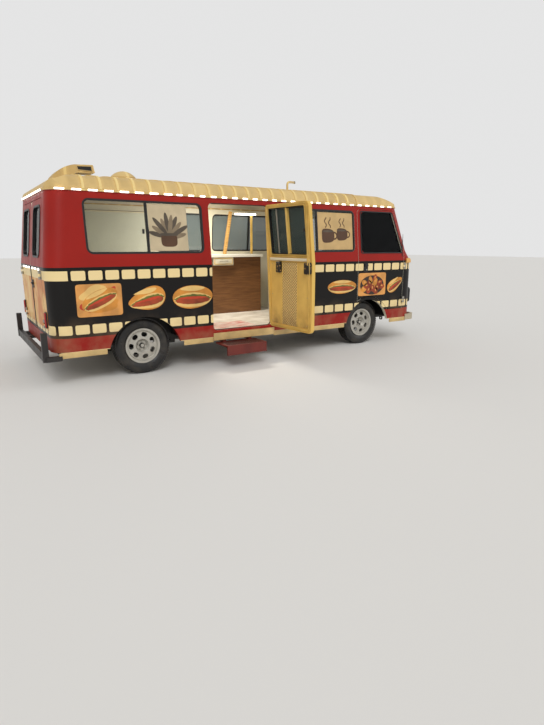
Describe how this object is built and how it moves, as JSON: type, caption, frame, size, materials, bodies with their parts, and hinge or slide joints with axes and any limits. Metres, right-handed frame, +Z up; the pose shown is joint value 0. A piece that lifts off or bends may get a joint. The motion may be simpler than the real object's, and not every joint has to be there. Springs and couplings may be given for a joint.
{
  "type": "food truck van",
  "caption": "Forward-control van body with side hatch door open, rear doors, raised ribbed roof, kitchen counter inside, steered front wheels and free-turning wheels.",
  "frame": {"origin": "on the ground, under the middle of the whole object's box, its side door open", "axes": "+X forward, +Y to the vehicle's left, +Z up"},
  "size_m": [5.507, 2.821, 2.352],
  "materials": {
    "body_paint": "gloss",
    "roof_paint": "gloss",
    "glass": "clear",
    "seal": "matt",
    "frame_paint": "satin",
    "bare_steel": "satin",
    "cast_part": "rough",
    "wheel_paint": "satin",
    "tyre": "matt",
    "bumper_steel": "satin",
    "step_paint": "satin",
    "black_plastic": "matt",
    "lamp_glass": "clear",
    "amber_lens": "gloss",
    "red_lens": "gloss",
    "light_strip": "gloss",
    "worktop_white": "satin",
    "panel_wood": "satin",
    "seat_fabric": "matt",
    "floor_cover": "matt",
    "cream_trim": "satin"
  },
  "bodies": {
    "body": {"chassis_frame": "frame_paint", "counter_panel": "panel_wood", "dashboard": "black_plastic", "door_hinges": "bare_steel", "drive_shafts": "cast_part", "engine": "cast_part", "engine_cover": "black_plastic", "exhaust": "bare_steel", "floor": "floor_cover", "front_bumper": "black_plastic", "front_frame": "body_paint", "front_suspension": "frame_paint", "fuel_tank": "frame_paint", "grille": "black_plastic", "headlamp_bezels": "black_plastic", "headlamp_lenses": "lamp_glass", "indicators": "amber_lens", "light_modules": "light_strip", "rear_axle": "frame_paint", "rear_bumper": "bumper_steel", "rear_frame": "body_paint", "rear_springs": "frame_paint", "roof": "roof_paint", "roof_fittings": "roof_paint", "seats": "seat_fabric", "side_glass_left": "glass", "side_glass_right": "glass", "side_panel_left": "body_paint", "side_panel_right": "body_paint", "side_step": "step_paint", "steering_wheel": "black_plastic", "tail_lamps": "red_lens", "wheel_housings": "frame_paint", "window_frames": "seal", "windscreen": "glass", "worktop": "worktop_white"},
    "side_door": {"side_door": "body_paint", "side_door_glass": "glass", "side_door_trim": "cream_trim", "side_door_handles": "black_plastic"},
    "front_door_left": {"front_door_left": "body_paint", "front_door_glass_left": "glass"},
    "front_door_right": {"front_door_right": "body_paint", "front_door_glass_right": "glass"},
    "rear_door_left": {"rear_door_left": "body_paint", "rear_door_glass_left": "glass"},
    "rear_door_right": {"rear_door_right": "body_paint", "rear_door_glass_right": "glass"},
    "knuckle_left": {"knuckle_left": "cast_part"},
    "knuckle_right": {"knuckle_right": "cast_part"},
    "wheel_front_left": {"wheel_front_left": "wheel_paint", "tyre_front_left": "tyre"},
    "wheel_front_right": {"wheel_front_right": "wheel_paint", "tyre_front_right": "tyre"},
    "wheel_rear_left": {"wheel_rear_left": "wheel_paint", "tyre_rear_left": "tyre"},
    "wheel_rear_right": {"wheel_rear_right": "wheel_paint", "tyre_rear_right": "tyre"}
  },
  "joints": [
    {"name": "side_door_hinge", "type": "hinge", "parent": "body", "child": "side_door", "pos_m": [0.0255, -0.56054, 1.15], "axis": [0, 0, 1], "range_deg": [-92, 13]},
    {"name": "front_door_right_hinge", "type": "hinge", "parent": "body", "child": "front_door_right", "pos_m": [2.4135, -0.56054, 1.15], "axis": [0, 0, 1], "range_deg": [0, 70]},
    {"name": "front_door_left_hinge", "type": "hinge", "parent": "body", "child": "front_door_left", "pos_m": [2.4135, 1.39746, 1.15], "axis": [0, 0, -1], "range_deg": [0, 70]},
    {"name": "rear_door_right_hinge", "type": "hinge", "parent": "body", "child": "rear_door_right", "pos_m": [-2.6605, -0.23154, 1.15], "axis": [0, 0, 1], "range_deg": [0, 110]},
    {"name": "rear_door_left_hinge", "type": "hinge", "parent": "body", "child": "rear_door_left", "pos_m": [-2.6605, 1.06846, 1.15], "axis": [0, 0, -1], "range_deg": [0, 110]},
    {"name": "steer_left", "type": "hinge", "parent": "body", "child": "knuckle_left", "pos_m": [1.7035, 1.09846, 0.325], "axis": [0, 0, 1], "range_deg": [-30, 30]},
    {"name": "steer_right", "type": "hinge", "parent": "body", "child": "knuckle_right", "pos_m": [1.7035, -0.26154, 0.325], "axis": [0, 0, 1], "range_deg": [-30, 30]},
    {"name": "spin_front_left", "type": "hinge", "parent": "knuckle_left", "child": "wheel_front_left", "pos_m": [1.7035, 1.16346, 0.325], "axis": [0, 1, 0], "continuous": true},
    {"name": "spin_front_right", "type": "hinge", "parent": "knuckle_right", "child": "wheel_front_right", "pos_m": [1.7035, -0.32654, 0.325], "axis": [0, 1, 0], "continuous": true},
    {"name": "spin_rear_left", "type": "hinge", "parent": "body", "child": "wheel_rear_left", "pos_m": [-1.6665, 1.16346, 0.325], "axis": [0, 1, 0], "continuous": true},
    {"name": "spin_rear_right", "type": "hinge", "parent": "body", "child": "wheel_rear_right", "pos_m": [-1.6665, -0.32654, 0.325], "axis": [0, 1, 0], "continuous": true}
  ],
  "couplings": [
    {"joint": "steer_right", "follows": "steer_left", "ratio": 1}
  ]
}
